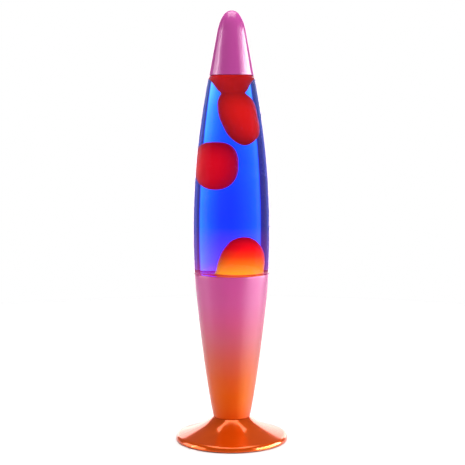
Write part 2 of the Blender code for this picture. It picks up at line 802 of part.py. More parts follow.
def globe_liquid():
    """The liquid, hollow where the wax is. Each hollow opens to the outside."""
    low = LIP_Z - GAP
    high = drop_top() + GAP
    rise = high - low
    side = [(bore_radius(low + rise * step / 9), low + rise * step / 9) for step in range(10)]
    path = [(0, low)] + side + [(0, high)]
    made = place("globe_liquid", spun(path, SHELL_SIDES, ring=False), liquid())
    cut(made, cutter("drop_hollow", wax_drop(GAP)))
    cut(made, cutter("mound_hollow", wax_mound(GAP)))
    hollow = cutter("float_hollow", wax_float(GAP))
    hollow.location = float_place()
    cut(made, hollow)
    return made


def coil_level():
    return BOTTLE_FLOOR_Z + 2 * GAP + COIL_WIRE + COIL_TURN_RADIUS


def coil_radius():
    """Ring that the coil follows, inside the corner of the bottle's floor."""
    half = COIL_TURN_RADIUS + COIL_WIRE + SLIP
    return BOTTLE_FOOT_RADIUS - GLASS_WALL - HEEL_RISE - SWING - half


def wax_bottom_mound():
    """Mound with a groove in its underside for the wire coil."""
    made = place("wax_bottom_mound", wax_mound(0), wax())
    half = COIL_TURN_RADIUS + COIL_WIRE + SLIP
    path = block(coil_radius() - half, coil_radius() + half, BOTTLE_FLOOR_Z - half, coil_level() + half)
    cut(made, cutter("coil_groove", spun(path, SHELL_SIDES)))
    return made


def wire_coil():
    """Steel wire wound round a ring, which gathers the cooled wax."""
    points = []
    count = COIL_TURNS * 6
    for step in range(count):
        turn = math.tau * step / 6
        along = math.tau * step / count
        radius = coil_radius() + COIL_TURN_RADIUS * math.cos(turn)
        height = coil_level() + COIL_TURN_RADIUS * math.sin(turn)
        points.append((radius * math.cos(along), radius * math.sin(along), height))
    return wire("wire_coil", points, COIL_WIRE, steel(), None, closed=True)


def crown_cap():
    """Crown closure: a shallow tin cup with a fluted skirt."""
    top = RIM_Z + BOTTLE_NECK_HEIGHT + LINER_HEIGHT + 2 * GAP
    inner = FINISH_RADIUS + SLIP
    path = [
        (0, top + CROWN_WALL),
        (inner - 0.0008, top + CROWN_WALL),
        (inner + CROWN_WALL, top - 0.0010),
        (inner + CROWN_WALL + CROWN_FLARE, top - CROWN_SKIRT),
        (inner + CROWN_FLARE, top - CROWN_SKIRT),
        (inner, top - 0.0012),
        (inner - 0.0010, top),
        (0, top),
    ]
    bm = spun(path, 2 * CROWN_FLUTES, ring=False)
    for vert in bm.verts:
        if vert.co.z < top - CROWN_SKIRT / 2:
            turn = math.atan2(vert.co.y, vert.co.x) * CROWN_FLUTES
            vert.co.xy *= 1 + 0.0004 * math.cos(turn) / vert.co.xy.length
    return place("crown_cap", bm, steel())


def crown_liner():
    """Soft disc that seals the mouth inside the crown."""
    low = RIM_Z + BOTTLE_NECK_HEIGHT + GAP
    outer = FINISH_RADIUS - 0.0010
    path = [(0, low + LINER_HEIGHT), (outer, low + LINER_HEIGHT), (outer, low), (0, low)]
    return place("crown_liner", spun(path, SMALL_SIDES, ring=False), rubber())


def bottle():
    """Everything that lifts out with the bottle."""
    lift = axis("globe_lift_axis", (0, 0, 0))
    for piece in (glass_globe(), globe_liquid(), wax_bottom_mound(), wire_coil(), crown_cap(), crown_liner()):
        piece.parent = lift
    place("wax_top_drop", wax_drop(0), wax(), lift)
    rise = axis("wax_rise_axis", float_place(), lift)
    place("wax_floating_blob", wax_float(0), wax(), rise)


# ---------------------------------------------------------------- cap


def top_cap():
    """Spun cone with a rounded tip, open below, that stands on the bottle's shoulder."""
    nose = (CAP_NOSE_RADIUS, RIM_Z + CAP_NOSE_HEIGHT)
    tip = TOP_Z - nose[1]
    dome = bezier((0, TOP_Z), (0.52 * nose[0], TOP_Z), (0.84 * nose[0], TOP_Z - 0.42 * tip), nose, steps=6)
    flank = ((nose[0] + CAP_RIM_RADIUS) / 2, RIM_Z + CAP_NOSE_HEIGHT / 2)
    side = bezier(nose, flank, (CAP_RIM_RADIUS, RIM_Z), steps=5)
    outer = dome + side[1:]
    inner = offset(outer, CAP_WALL)
    inner[-1].y = RIM_Z
    lift = axis("cap_lift_axis", (0, 0, RIM_Z))
    bm = spun(outer + inner[::-1], SHELL_SIDES, ring=False)
    bmesh.ops.translate(bm, verts=bm.verts, vec=(0, 0, -RIM_Z))
    return place("top_cap", bm, pink_paint(), lift)


def main():
    clear_scene()
    foot()
    rubber_foot_ring()
    bottom_cover()
    fixing()
    base_body()
    cord_grommet()
    lampholder()
    bulb()
    bottle()
    top_cap()


main()
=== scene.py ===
"""Looks for the lava lamp: fine outside pieces, glass, liquid, wax and a soft studio."""

import json
import math

import bmesh
import bpy
from mathutils import Matrix, Vector

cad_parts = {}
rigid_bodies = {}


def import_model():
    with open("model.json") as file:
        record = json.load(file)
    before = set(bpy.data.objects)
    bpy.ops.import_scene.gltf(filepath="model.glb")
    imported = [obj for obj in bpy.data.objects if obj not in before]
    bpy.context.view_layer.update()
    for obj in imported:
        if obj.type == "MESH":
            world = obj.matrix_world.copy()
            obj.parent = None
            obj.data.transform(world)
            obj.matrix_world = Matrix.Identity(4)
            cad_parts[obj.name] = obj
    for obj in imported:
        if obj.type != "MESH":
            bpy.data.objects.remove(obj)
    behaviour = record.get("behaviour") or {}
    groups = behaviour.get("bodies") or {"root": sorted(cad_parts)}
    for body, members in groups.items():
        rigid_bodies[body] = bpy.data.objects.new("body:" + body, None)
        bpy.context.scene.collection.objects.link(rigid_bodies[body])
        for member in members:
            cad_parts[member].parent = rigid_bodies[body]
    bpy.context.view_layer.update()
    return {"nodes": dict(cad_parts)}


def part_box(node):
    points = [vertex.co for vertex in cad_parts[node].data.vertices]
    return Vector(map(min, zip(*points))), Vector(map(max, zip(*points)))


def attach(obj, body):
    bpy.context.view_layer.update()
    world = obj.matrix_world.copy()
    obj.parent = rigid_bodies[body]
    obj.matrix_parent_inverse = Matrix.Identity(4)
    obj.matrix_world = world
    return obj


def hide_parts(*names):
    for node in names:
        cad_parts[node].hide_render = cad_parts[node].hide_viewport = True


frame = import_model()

MM = 0.001

# Camera
DISTANCE = 1.083
EYE_HEIGHT = 0.2962
EYE_SIDE = 0.00075
PITCH = math.radians(5.30)
LENS = 90.38

# Levels and sizes read from the frame
LIP_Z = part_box("base_body")[1][2]
BODY_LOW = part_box("base_body")[0][2]
LIP_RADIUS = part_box("base_body")[1][0]
FOOT_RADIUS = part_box("foot")[1][0]
FOOT_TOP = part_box("foot")[1][2]
FOOT_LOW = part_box("foot")[0][2]
RIM_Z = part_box("top_cap")[0][2]
TOP_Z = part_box("top_cap")[1][2]
CAP_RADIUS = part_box("top_cap")[1][0]
BELLY_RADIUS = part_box("glass_globe")[1][0]
BOTTLE_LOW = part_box("glass_globe")[0][2]
MOUTH_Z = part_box("glass_globe")[1][2]
LIQUID_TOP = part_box("globe_liquid")[1][2]
FLOAT_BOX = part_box("wax_floating_blob")
MOUND_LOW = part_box("wax_bottom_mound")[0][2]

GAP = 0.3 * MM
NECK_RADIUS = 17.3 * MM
BODY_WALL = 1.0 * MM
BODY_BEND = 0.32
BELLY_RISE = 38.5 * MM
GLASS_WALL = 4.0 * MM
SHOWN = RIM_Z - LIP_Z
SHOULDER_Z = RIM_Z - GAP
SHOULDER_RADIUS = CAP_RADIUS + GAP
SIDES = 160

# The cord's inlet
INLET_RISE = 6.0 * MM
INLET_HOLE = 3.9 * MM
GROMMET_RADIUS = 4.8 * MM
GROMMET_HOLE = 3.6 * MM
GROMMET_BORE = 2.4 * MM
GROMMET_LIP = 0.7 * MM

# The foot
TUBE_HOLE = 5.5 * MM
FOOT_WALL = 0.8 * MM
FOOT_RIM = 3.5 * MM
FOOT_RIM_Z = 5.8 * MM
FOOT_SWEEP = (0.297, 0.575)

# Levels between which the body's colour fades
FADE_LOW = 45 * MM
FADE_HIGH = 150 * MM
# How far the free blob rises, and its distance from the bore
BLOB_RISE = 2.5 * MM
BLOB_CLEAR = 0.4 * MM
# Depth of colour of the liquid, per metre
LIQUID_DENSITY = 125.0
# Point at which the softboxes aim
AIM = Vector((0, 0, 0.2))
# Steepest bearing, as the sine of its climb, that counts as the studio's sides
SIDE_CLIMB = 0.41


# ---------------------------------------------------------------- outlines


def bezier(*controls, steps):
    """Points along a Bezier curve through (radius, height) controls."""
    points = []
    for step in range(steps + 1):
        t = step / steps
        row = [Vector(c) for c in controls]
        while len(row) > 1:
            row = [a.lerp(b, t) for a, b in zip(row, row[1:])]
        points.append(row[0])
    return points


def offset(path, distance):
    """An open path shifted to the right of its travel, with mitred corners."""
    points = [Vector(p) for p in path]
    ways = [(b - a).normalized() for a, b in zip(points, points[1:])]
    ways = [ways[0]] + ways + [ways[-1]]
    shifted = []
    for point, before, after in zip(points, ways, ways[1:]):
        side = Vector((before.y + after.y, -before.x - after.x)).normalized()
        reach = distance / max(side.dot(Vector((after.y, -after.x))), 0.5)
        moved = point + side * reach
        moved.x = max(moved.x, 0.0) if point.x > 0 else 0.0
        shifted.append(moved)
    return shifted


def rounded(path, radius, steps=5, ring=True):
    """Round each corner sharper than 25 degrees to about the radius."""
    points = [Vector(p) for p in path]
    count = len(points)
    made = []
    for index, point in enumerate(points):
        if not ring and index in (0, count - 1):
            made.append(point)
            continue
        before, after = points[index - 1], points[(index + 1) % count]
        back, on = before - point, after - point
        if back.length < 1e-7 or on.length < 1e-7:
            continue
        turn = math.pi - back.angle(on)
        if turn < math.radians(25):
            made.append(point)
            continue
        cut = min(radius * math.tan(turn / 2), 0.45 * back.length, 0.45 * on.length)
        start, end = point + back.normalized() * cut, point + on.normalized() * cut
        made += bezier(start, point, end, steps=steps)
    return made


def bottle_radius(z):
    """Outside of the glass: one arc from the lip through the belly to the shoulder."""
    belly = LIP_Z + BELLY_RISE
    drop = BELLY_RADIUS - SHOULDER_RADIUS
    rise = SHOULDER_Z - belly
    arc = (rise**2 + drop**2) / (2 * drop)
    return BELLY_RADIUS - arc + math.sqrt(arc**2 - (z - belly) ** 2)


def bore_radius(z):
    """Inside of the glass above the lip, less the liquid's clearance."""
    return bottle_radius(z) - GLASS_WALL - GAP


def body_side(steps):
    """Outside of the body from its lip down to its neck."""
    bend = ((LIP_RADIUS + NECK_RADIUS) / 2, BODY_LOW + BODY_BEND * (LIP_Z - BODY_LOW))
    return bezier((LIP_RADIUS, LIP_Z), bend, (NECK_RADIUS, BODY_LOW), steps=steps)


def body_radius(z):
    """Outside radius of the body at a height."""
    for above, below in zip(body_side(80), body_side(80)[1:]):
        if below.y <= z <= above.y:
            return below.x + (above.x - below.x) * (z - below.y) / (above.y - below.y)
    return NECK_RADIUS


BOTTLE_FOOT = body_radius(BOTTLE_LOW) - BODY_WALL - 1.5 * MM


def eased(rows, count):
    """Rows of numbers, first column rising, resampled through a smooth cubic."""
    made = []
    for step in range(count + 1):
        level = rows[0][0] + (rows[-1][0] - rows[0][0]) * step / count
        index = 0
        while index < len(rows) - 2 and rows[index + 1][0] < level:
            index += 1
        low, high = rows[index], rows[index + 1]
        before, after = rows[max(index - 1, 0)], rows[min(index + 2, len(rows) - 1)]
        width = high[0] - low[0]
        t = (level - low[0]) / width
        line = [level]
        for a, b, c, d in zip(before[1:], low[1:], high[1:], after[1:]):
            start = (c - a) / (high[0] - before[0]) * width
            end = (d - b) / (after[0] - low[0]) * width
            line.append((2 * t**3 - 3 * t**2 + 1) * b + (t**3 - 2 * t**2 + t) * start
                        + (3 * t**2 - 2 * t**3) * c + (t**3 - t**2) * end)
        made.append(line)
    return made


# ---------------------------------------------------------------- mesh tools


def piece(name, bm, look, body, *nodes, material_slot, crease=40):
    """Turn a bmesh into a piece that rides on a body and stands for CAD nodes."""
    bmesh.ops.remove_doubles(bm, verts=bm.verts, dist=1e-6)
    bmesh.ops.recalc_face_normals(bm, faces=bm.faces)
    mesh = bpy.data.meshes.new(name)
    bm.to_mesh(mesh)
    bm.free()
    for each in look if isinstance(look, (list, tuple)) else [look]:
        mesh.materials.append(each)
    mesh.shade_smooth()
    mesh.set_sharp_from_angle(angle=math.radians(crease))
    made = bpy.data.objects.new(name, mesh)
    bpy.context.scene.collection.objects.link(made)
    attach(made, body)
    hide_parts(*nodes)
    return made


def spun(outline, sides=SIDES, ring=True):
    """Spin a (radius, height) outline about Z. A ring joins its last point to its first."""
    bm = bmesh.new()
    verts = [bm.verts.new((r, 0, z)) for r, z in outline]
    edges = [bm.edges.new(pair) for pair in zip(verts, verts[1:])]
    if ring:
        edges.append(bm.edges.new((verts[-1], verts[0])))
    bmesh.ops.spin(bm, geom=verts + edges, axis=(0, 0, 1), cent=(0, 0, 0),
                   angle=math.tau, steps=sides, use_merge=True)
    return bm


def lofted(sections, sides=72):
    """A closed blob through level circles (x, y, z, radius)."""
    bm = bmesh.new()
    before = None
    for index, section in enumerate(sections):
        ends = index in (0, len(sections) - 1)
        ring = bmesh.ops.create_circle(bm, cap_ends=ends, radius=section[3], segments=sides,
                                       matrix=Matrix.Translation(section[:3]))["verts"]
        ring = set(ring)
        edges = [edge for vert in ring for edge in vert.link_edges if edge.other_vert(vert) in ring]
        edges = list(set(edges))
        if before:
            bmesh.ops.bridge_loops(bm, edges=before + edges)
        before = edges
    return bm


# ---------------------------------------------------------------- node tools


class Look:
    """A node material under construction, in the piece's own Object coordinates."""

    def __init__(self, name):
        self.material = bpy.data.materials.new(name)
        self.material.use_nodes = True
        self.tree = self.material.node_tree
        self.shader = self.tree.nodes["Principled BSDF"]
        self.place = self.add("ShaderNodeTexCoord").outputs["Object"]

    def add(self, kind, **values):
        made = self.tree.nodes.new(kind)
        for key, value in values.items():
            setattr(made, key, value)
        return made

    def link(self, source, target):
        self.tree.links.new(source, target)

    def set(self, **values):
        for key, value in values.items():
            self.shader.inputs[key.replace("_", " ")].default_value = value

    def noise(self, scale, detail=3.0, stretch=(1, 1, 1)):
        """Noise at a scale in features per metre."""
        turn = self.add("ShaderNodeMapping")
        turn.inputs["Scale"].default_value = stretch
        self.link(self.place, turn.inputs["Vector"])
        made = self.add("ShaderNodeTexNoise")
        made.inputs["Scale"].default_value = scale
        made.inputs["Detail"].default_value = detail
        self.link(turn.outputs["Vector"], made.inputs["Vector"])
        return made.outputs["Fac"]

    def spread(self, source, low, high, start=0.3, end=0.7):
        """Map a factor onto a range."""
        made = self.add("ShaderNodeMapRange")
        for key, value in (("From Min", start), ("From Max", end), ("To Min", low), ("To Max", high)):
            made.inputs[key].default_value = value
        self.link(source, made.inputs["Value"])
        return made.outputs["Result"]

    def height(self):
        split = self.add("ShaderNodeSeparateXYZ")
        self.link(self.place, split.inputs["Vector"])
        return split.outputs["Z"]

    def ramp(self, source, stops):
        """Colours at positions from 0 to 1."""
        made = self.add("ShaderNodeValToRGB")
        made.color_ramp.interpolation = "EASE" if len(stops) == 2 else "LINEAR"
        while len(made.color_ramp.elements) < len(stops):
            made.color_ramp.elements.new(0.5)
        for element, (position, colour) in zip(made.color_ramp.elements, stops):
            element.position = position
            element.color = (*colour, 1.0)
        self.link(source, made.inputs["Fac"])
        return made.outputs["Color"]

    def tinted(self, colour_socket, factor, tone, mode="MULTIPLY"):
        """Lay a tone over a colour where the factor is high."""
        made = self.add("ShaderNodeMix", data_type="RGBA", blend_type=mode)
        self.link(factor, made.inputs["Factor"])
        self.link(colour_socket, made.inputs[6])
        made.inputs[7].default_value = (*tone, 1.0)
        return made.outputs[2]

    def bump(self, source, strength, distance):
        made = self.add("ShaderNodeBump")
        made.inputs["Strength"].default_value = strength
        made.inputs["Distance"].default_value = distance
        self.link(source, made.inputs["Height"])
        self.link(made.outputs["Normal"], self.shader.inputs["Normal"])
        return made


def two_tone(look, scale, dark, light, start=0.3, end=0.7, detail=4.0):
    """Base colour that drifts between two tones."""
    factor = look.spread(look.noise(scale, detail), 0.0, 1.0, start, end)
    look.link(look.ramp(factor, [(0.0, dark), (1.0, light)]), look.shader.inputs["Base Color"])


# ---------------------------------------------------------------- materials


def lacquer_finish(look, haze, gloss):
    """Satin lacquer: faint orange peel and a roughness that drifts."""
    look.set(Specular_IOR_Level=gloss)
    rough = look.spread(look.noise(20.0, 1.0), haze, haze + 0.05, 0.2, 0.8)
    look.link(rough, look.shader.inputs["Roughness"])
    look.bump(look.noise(900.0, 2.0), 0.03, 0.2 * MM)


def cap_lacquer():
    look = Look("pink_cap_lacquer")
    factor = look.spread(look.height(), 0.0, 1.0, RIM_Z, TOP_Z)
    pink = look.ramp(factor, [(0.0, (0.53, 0.062, 0.335)), (1.0, (0.57, 0.072, 0.355))])
    drift = look.spread(look.noise(9.0, 0.0), 0.0, 0.10, 0.2, 0.8)
    look.link(look.tinted(pink, drift, (0.80, 0.70, 0.78)), look.shader.inputs["Base Color"])
    lacquer_finish(look, 0.17, 0.55)
    return look.material


def body_lacquer():
    """Pink at the lip that fades to orange above the foot."""
    look = Look("pink_to_orange_lacquer")
    factor = look.spread(look.height(), 0.0, 1.0, FADE_LOW, FADE_HIGH)
    fade = look.ramp(factor, [
        (0.00, (0.72, 0.068, 0.004)),
        (0.14, (0.69, 0.062, 0.014)),
        (0.32, (0.63, 0.062, 0.045)),
        (0.50, (0.58, 0.060, 0.110)),
        (0.68, (0.60, 0.050, 0.190)),
        (0.84, (0.58, 0.048, 0.245)),
        (1.00, (0.58, 0.044, 0.265)),
    ])
    gloss = look.ramp(factor, [
        (0.00, (1.00, 0.60, 0.04)),
        (0.14, (1.00, 0.68, 0.12)),
        (0.32, (1.00, 0.72, 0.43)),
        (0.50, (1.00, 0.78, 0.80)),
        (0.75, (0.95, 0.85, 1.00)),
    ])
    look.link(gloss, look.shader.inputs["Specular Tint"])
    drift = look.spread(look.noise(9.0, 0.0), 0.0, 0.10, 0.2, 0.8)
    look.link(look.tinted(fade, drift, (0.82, 0.72, 0.75)), look.shader.inputs["Base Color"])
    lacquer_finish(look, 0.22, 0.5)
    return look.material


def foot_lacquer():
    look = Look("orange_foot_lacquer")
    two_tone(look, 30.0, (0.66, 0.072, 0.001), (0.76, 0.088, 0.002))
    look.set(Metallic=0.35, Coat_Weight=0.5, Coat_Roughness=0.03, Coat_IOR=1.45,
             Specular_Tint=(1.0, 0.4, 0.05, 1.0))
    look.link(look.spread(look.noise(60.0), 0.10, 0.18), look.shader.inputs["Roughness"])
    look.bump(look.noise(700.0, 2.0), 0.03, 0.2 * MM)
    return look.material


def rubber_look():
    look = Look("moulded_black_rubber")
    two_tone(look, 120.0, (0.012, 0.012, 0.013), (0.030, 0.029, 0.028))
    look.link(look.spread(look.noise(500.0), 0.60, 0.85), look.shader.inputs["Roughness"])
    look.bump(look.noise(2500.0, 2.0), 0.25, 0.1 * MM)
    return look.material


def plastic_look():
    look = Look("grained_black_plastic")
    two_tone(look, 90.0, (0.010, 0.010, 0.012), (0.022, 0.022, 0.024))
    look.link(look.spread(look.noise(800.0), 0.35, 0.55), look.shader.inputs["Roughness"])
    look.bump(look.noise(3000.0, 2.0), 0.20, 0.1 * MM)
    return look.material


def steel_look():
    look = Look("zinc_plated_steel")
    two_tone(look, 350.0, (0.42, 0.42, 0.41), (0.62, 0.62, 0.60))
    look.set(Metallic=1.0)
    look.link(look.spread(look.noise(900.0, 4.0), 0.22, 0.42), look.shader.inputs["Roughness"])
    look.bump(look.noise(2200.0, 2.0), 0.08, 0.1 * MM)
    return look.material


def crown_look():
    look = Look("tinplate_crown")
    two_tone(look, 200.0, (0.55, 0.55, 0.56), (0.72, 0.72, 0.71))
    look.set(Metallic=1.0)
    look.link(look.spread(look.noise(600.0, 4.0, (1, 1, 4)), 0.14, 0.28), look.shader.inputs["Roughness"])
    look.bump(look.noise(1600.0, 2.0), 0.05, 0.1 * MM)
    return look.material


def brass_look():
    look = Look("pressed_brass")
    two_tone(look, 300.0, (0.55, 0.33, 0.09), (0.78, 0.52, 0.18))
    look.set(Metallic=1.0)
    look.link(look.spread(look.noise(700.0, 4.0), 0.18, 0.36), look.shader.inputs["Roughness"])
    look.bump(look.noise(2000.0, 2.0), 0.06, 0.1 * MM)
    return look.material


def porcelain_look():
    look = Look("glazed_porcelain")
    two_tone(look, 160.0, (0.68, 0.66, 0.60), (0.80, 0.78, 0.73))
    look.set(Coat_Weight=0.5, Coat_Roughness=0.05, Subsurface_Weight=0.1, Subsurface_Scale=1.0 * MM)
    look.link(look.spread(look.noise(300.0), 0.20, 0.34), look.shader.inputs["Roughness"])
    look.bump(look.noise(900.0, 2.0), 0.06, 0.1 * MM)
    return look.material


def bulb_glass_look():
    """Frosted bulb glass, lit from inside."""
    look = Look("frosted_bulb_glass")
    two_tone(look, 250.0, (0.80, 0.77, 0.70), (0.92, 0.90, 0.85))
    look.set(Transmission_Weight=0.4, IOR=1.5, Emission_Strength=1.5)
    look.shader.inputs["Emission Color"].default_value = (1.0, 0.62, 0.30, 1.0)
    look.link(look.spread(look.noise(900.0, 2.0), 0.30, 0.45), look.shader.inputs["Roughness"])
    look.bump(look.noise(3000.0, 2.0), 0.08, 0.05 * MM)
    return look.material


def glass_wall(name, ior, sheen):
    """Clear bottle glass with faint mould waves in its surface. Its base colour is painted violet at
    grazing edges as shade, and its sheen is painted maroon near the lip as a reflection of the glowing wax.
    """
    look = Look(name)
    clear = look.ramp(look.noise(40.0), [(0.3, (0.86, 0.84, 1.0)), (0.7, (0.94, 0.92, 1.0))])
    # Painted shade: the base colour turns violet where the glass is seen edge-on
    grazing = look.add("ShaderNodeLayerWeight").outputs["Facing"]
    painted_violet_edge_shade = look.tinted(clear, look.spread(grazing, 0.0, 0.8, 0.62, 0.9), (1.0, 0.25, 1.0))
    look.link(painted_violet_edge_shade, look.shader.inputs["Base Color"])
    look.set(Transmission_Weight=1.0, IOR=ior, Sheen_Weight=sheen, Sheen_Roughness=0.20)
    look.set(Specular_Tint=(1.0, 0.0, 0.35, 1.0))
    # Painted reflection: the sheen tint is maroon near the lip for the glowing wax below, and violet higher
    # up for the purple edges
    edge = look.spread(look.height(), 0.0, 1.0, LIP_Z, LIP_Z + 30 * MM)
    look.link(look.ramp(edge, [(0.0, (0.95, 0.03, 0.10)), (1.0, (0.70, 0.08, 0.80))]),
              look.shader.inputs["Sheen Tint"])
    look.link(look.spread(look.noise(80.0), 0.0, 0.02), look.shader.inputs["Roughness"])
    look.bump(look.noise(40.0, 1.0), 0.015, 0.3 * MM)
    return look.material


def liquid_look():
    """Blue liquid: no surface of its own beside the glass, only its depth of colour and a painted red glow
    near the lip.
    """
    look = Look("blue_lamp_liquid")
    two_tone(look, 30.0, (0.96, 0.97, 1.0), (1.0, 1.0, 1.0))
    look.set(Transmission_Weight=1.0, IOR=1.0, Roughness=0.0, Specular_IOR_Level=0.0, Emission_Strength=1.0)
    # Painted glow: red emission near the lip, fading upward, stands in for the bulb's light coming through
    # the wax
    glow = look.ramp(look.spread(look.height(), 0.0, 1.0, LIP_Z, LIP_Z + 45 * MM), [
        (0.0, (0.40, 0.0, 0.010)),
        (0.30, (0.17, 0.0, 0.004)),
        (1.0, (0.0, 0.0, 0.0)),
    ])
    look.link(glow, look.shader.inputs["Emission Color"])
    volume = look.add("ShaderNodeVolumeAbsorption")
    volume.inputs["Color"].default_value = (0.08, 0.57, 0.985, 1.0)
    volume.inputs["Density"].default_value = LIQUID_DENSITY
    output = next(node for node in look.tree.nodes if node.type == "OUTPUT_MATERIAL")
    look.link(volume.outputs["Volume"], output.inputs["Volume"])
    return look.material


def wax_look(name, stops, low, high, near, deep):
    """Molten wax with a painted glow: emission that stands in for the bulb's light shining through it. Its
    colour climbs with height between two levels.

    It glows more near the lamp's axis, where more of the liquid lies over it.
    """
    look = Look(name)
    # Painted glow: the emission colour is set by height
    glow = look.ramp(look.spread(look.height(), 0.0, 1.0, low, high), stops)
    drift = look.spread(look.noise(45.0, 1.0), 0.0, 0.30, 0.2, 0.8)
    look.link(look.tinted(glow, drift, (0.80, 0.70, 0.70)), look.shader.inputs["Emission Color"])
    flat = look.add("ShaderNodeVectorMath", operation="MULTIPLY")
    flat.inputs[1].default_value = (1, 1, 0)
    look.link(look.place, flat.inputs[0])
    reach = look.add("ShaderNodeVectorMath", operation="LENGTH")
    look.link(flat.outputs["Vector"], reach.inputs[0])
    depth = look.spread(reach.outputs["Value"], deep, near, 3 * MM, 28 * MM)
    look.link(depth, look.shader.inputs["Emission Strength"])
    two_tone(look, 60.0, (0.55, 0.006, 0.004), (0.70, 0.010, 0.006))
    look.set(Subsurface_Weight=0.3, Subsurface_Scale=4 * MM,
             Specular_IOR_Level=0.05, Sheen_Weight=0.4, Sheen_Roughness=0.15,
             Sheen_Tint=(0.75, 0.15, 1.0, 1.0))
    look.link(look.spread(look.noise(90.0), 0.22, 0.34), look.shader.inputs["Roughness"])
    look.bump(look.noise(60.0, 2.0), 0.08, 0.4 * MM)
    return look.material


# ---------------------------------------------------------------- lacquered pieces


def sheet_metal(path, wall, lip):
    """Section of a pressing whose outer face follows the path, with rounded edges."""
    return rounded(list(path) + offset(path, wall)[::-1], lip)


def shape_foot():
    """Flared pressing with a turned-down rim."""
    width = FOOT_RADIUS - FOOT_RIM - NECK_RADIUS
    edge = (FOOT_RADIUS - FOOT_RIM, FOOT_RIM_Z)
    across, down = FOOT_SWEEP
    bend = (NECK_RADIUS + across * width, FOOT_TOP - down * (FOOT_TOP - FOOT_RIM_Z))
    flare = bezier((NECK_RADIUS + GAP, FOOT_TOP - GAP), bend, edge, steps=48)
    turned = bezier(edge, (FOOT_RADIUS, FOOT_RIM_Z - FOOT_RIM / 3), (FOOT_RADIUS, FOOT_LOW), steps=14)
    path = [(TUBE_HOLE, FOOT_TOP), (NECK_RADIUS, FOOT_TOP)] + flare + turned[1:]
    bm = spun(sheet_metal(path, FOOT_WALL, 0.3 * MM))
    piece("lacquered_foot", bm, foot_lacquer(), "base", "foot", material_slot="orange_lacquer")


def shape_rubber_ring():
    """Foot ring with rounded edges and a shallow groove in its tread."""
    low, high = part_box("rubber_foot_ring")
    outer, inner = high[0], high[0] - 4.5 * MM
    middle = (outer + inner) / 2
    path = [(inner, high[2]), (outer, high[2]), (outer, low[2]), (middle + 0.7 * MM, low[2]),
            (middle + 0.4 * MM, 0.35 * MM), (middle - 0.4 * MM, 0.35 * MM), (middle - 0.7 * MM, low[2]),
            (inner, low[2])]
    bm = spun(rounded(path, 0.25 * MM, 3))
    piece("rubber_ring", bm, rubber_look(), "base", "rubber_foot_ring", material_slot="black_rubber")


def shape_body():
    """Conical pressing with a rolled lip and the cord's inlet in its back."""
    side = body_side(56)
    path = side + [Vector((TUBE_HOLE, BODY_LOW))]
    inner = offset(path, BODY_WALL)
    inner[0].y = LIP_Z
    bm = spun(rounded(path + inner[::-1], 0.45 * MM))
    made = piece("lacquered_body", bm, body_lacquer(), "base", "base_body", material_slot="pink_lacquer")
    hole = bmesh.new()
    bmesh.ops.create_cone(hole, cap_ends=True, segments=48, radius1=INLET_HOLE, radius2=INLET_HOLE,
                          depth=10 * MM, matrix=inlet_frame())
    mesh = bpy.data.meshes.new("inlet_cutter")
    hole.to_mesh(mesh)
    hole.free()
    tool = bpy.data.objects.new("inlet_cutter", mesh)
    bpy.context.scene.collection.objects.link(tool)
    change = made.modifiers.new("inlet", "BOOLEAN")
    change.operation = "DIFFERENCE"
    change.solver = "EXACT"
    change.object = tool
    bpy.context.view_layer.update()
    cut = bpy.data.meshes.new_from_object(made.evaluated_get(bpy.context.evaluated_depsgraph_get()))
    made.modifiers.clear()
    made.data = cut
    bpy.data.objects.remove(tool, do_unlink=True)


def inlet_frame():
    """Frame in the body's back wall, its Z axis square to the wall."""
    level = BODY_LOW + BODY_WALL + INLET_RISE
    bottom, top = level - GROMMET_RADIUS, level + GROMMET_RADIUS
    lean = math.atan2(body_radius(top) - body_radius(bottom), top - bottom)
    middle = Matrix.Translation((0, body_radius(level) - BODY_WALL / 2, level))
    return middle @ Matrix.Rotation(-math.pi / 2 - lean, 4, "X")


def shape_grommet():
    """Rubber bush with rounded flanges and an empty bore."""
    recess = NECK_RADIUS - math.sqrt(NECK_RADIUS**2 - GROMMET_RADIUS**2)
    half = BODY_WALL / 2 + recess + GAP
    path = [(GROMMET_BORE, half + GROMMET_LIP), (GROMMET_RADIUS - GROMMET_LIP / 2, half + GROMMET_LIP),
            (GROMMET_RADIUS, half), (GROMMET_HOLE, half), (GROMMET_HOLE, -half), (GROMMET_RADIUS, -half),
            (GROMMET_RADIUS - GROMMET_LIP / 2, -half - GROMMET_LIP), (GROMMET_BORE, -half - GROMMET_LIP)]
    bm = spun(rounded(path, 0.3 * MM, 4), 64)
    bmesh.ops.transform(bm, verts=bm.verts, matrix=inlet_frame())
    piece("cord_bush", bm, rubber_look(), "base", "cord_grommet", material_slot="black_rubber")


def shape_cap():
    """Spun cone with a rounded tip and a rolled rim."""
    nose = (13.4 * MM, RIM_Z + 40.5 * MM)
    tip = TOP_Z - nose[1]
    dome = bezier((0, TOP_Z), (0.52 * nose[0], TOP_Z), (0.84 * nose[0], TOP_Z - 0.42 * tip), nose, steps=28)
    flank = ((nose[0] + CAP_RADIUS) / 2, RIM_Z + 20.25 * MM)
    outer = dome + bezier(nose, flank, (CAP_RADIUS, RIM_Z), steps=30)[1:]
    inner = offset(outer, 1.2 * MM)
    inner[-1].y = RIM_Z
    bm = spun(rounded(outer + inner[::-1], 0.5 * MM, ring=False), ring=False)
    piece("lacquered_cap", bm, cap_lacquer(), "cap", "top_cap", material_slot="pink_lacquer")


# ---------------------------------------------------------------- bottle


def glass_side(start, end, inset, steps=70):
    """The bottle's side between two levels, set in by a wall."""
    levels = [start + (end - start) * i / steps for i in range(steps + 1)]
    return [(bottle_radius(z) - inset, z) for z in levels]


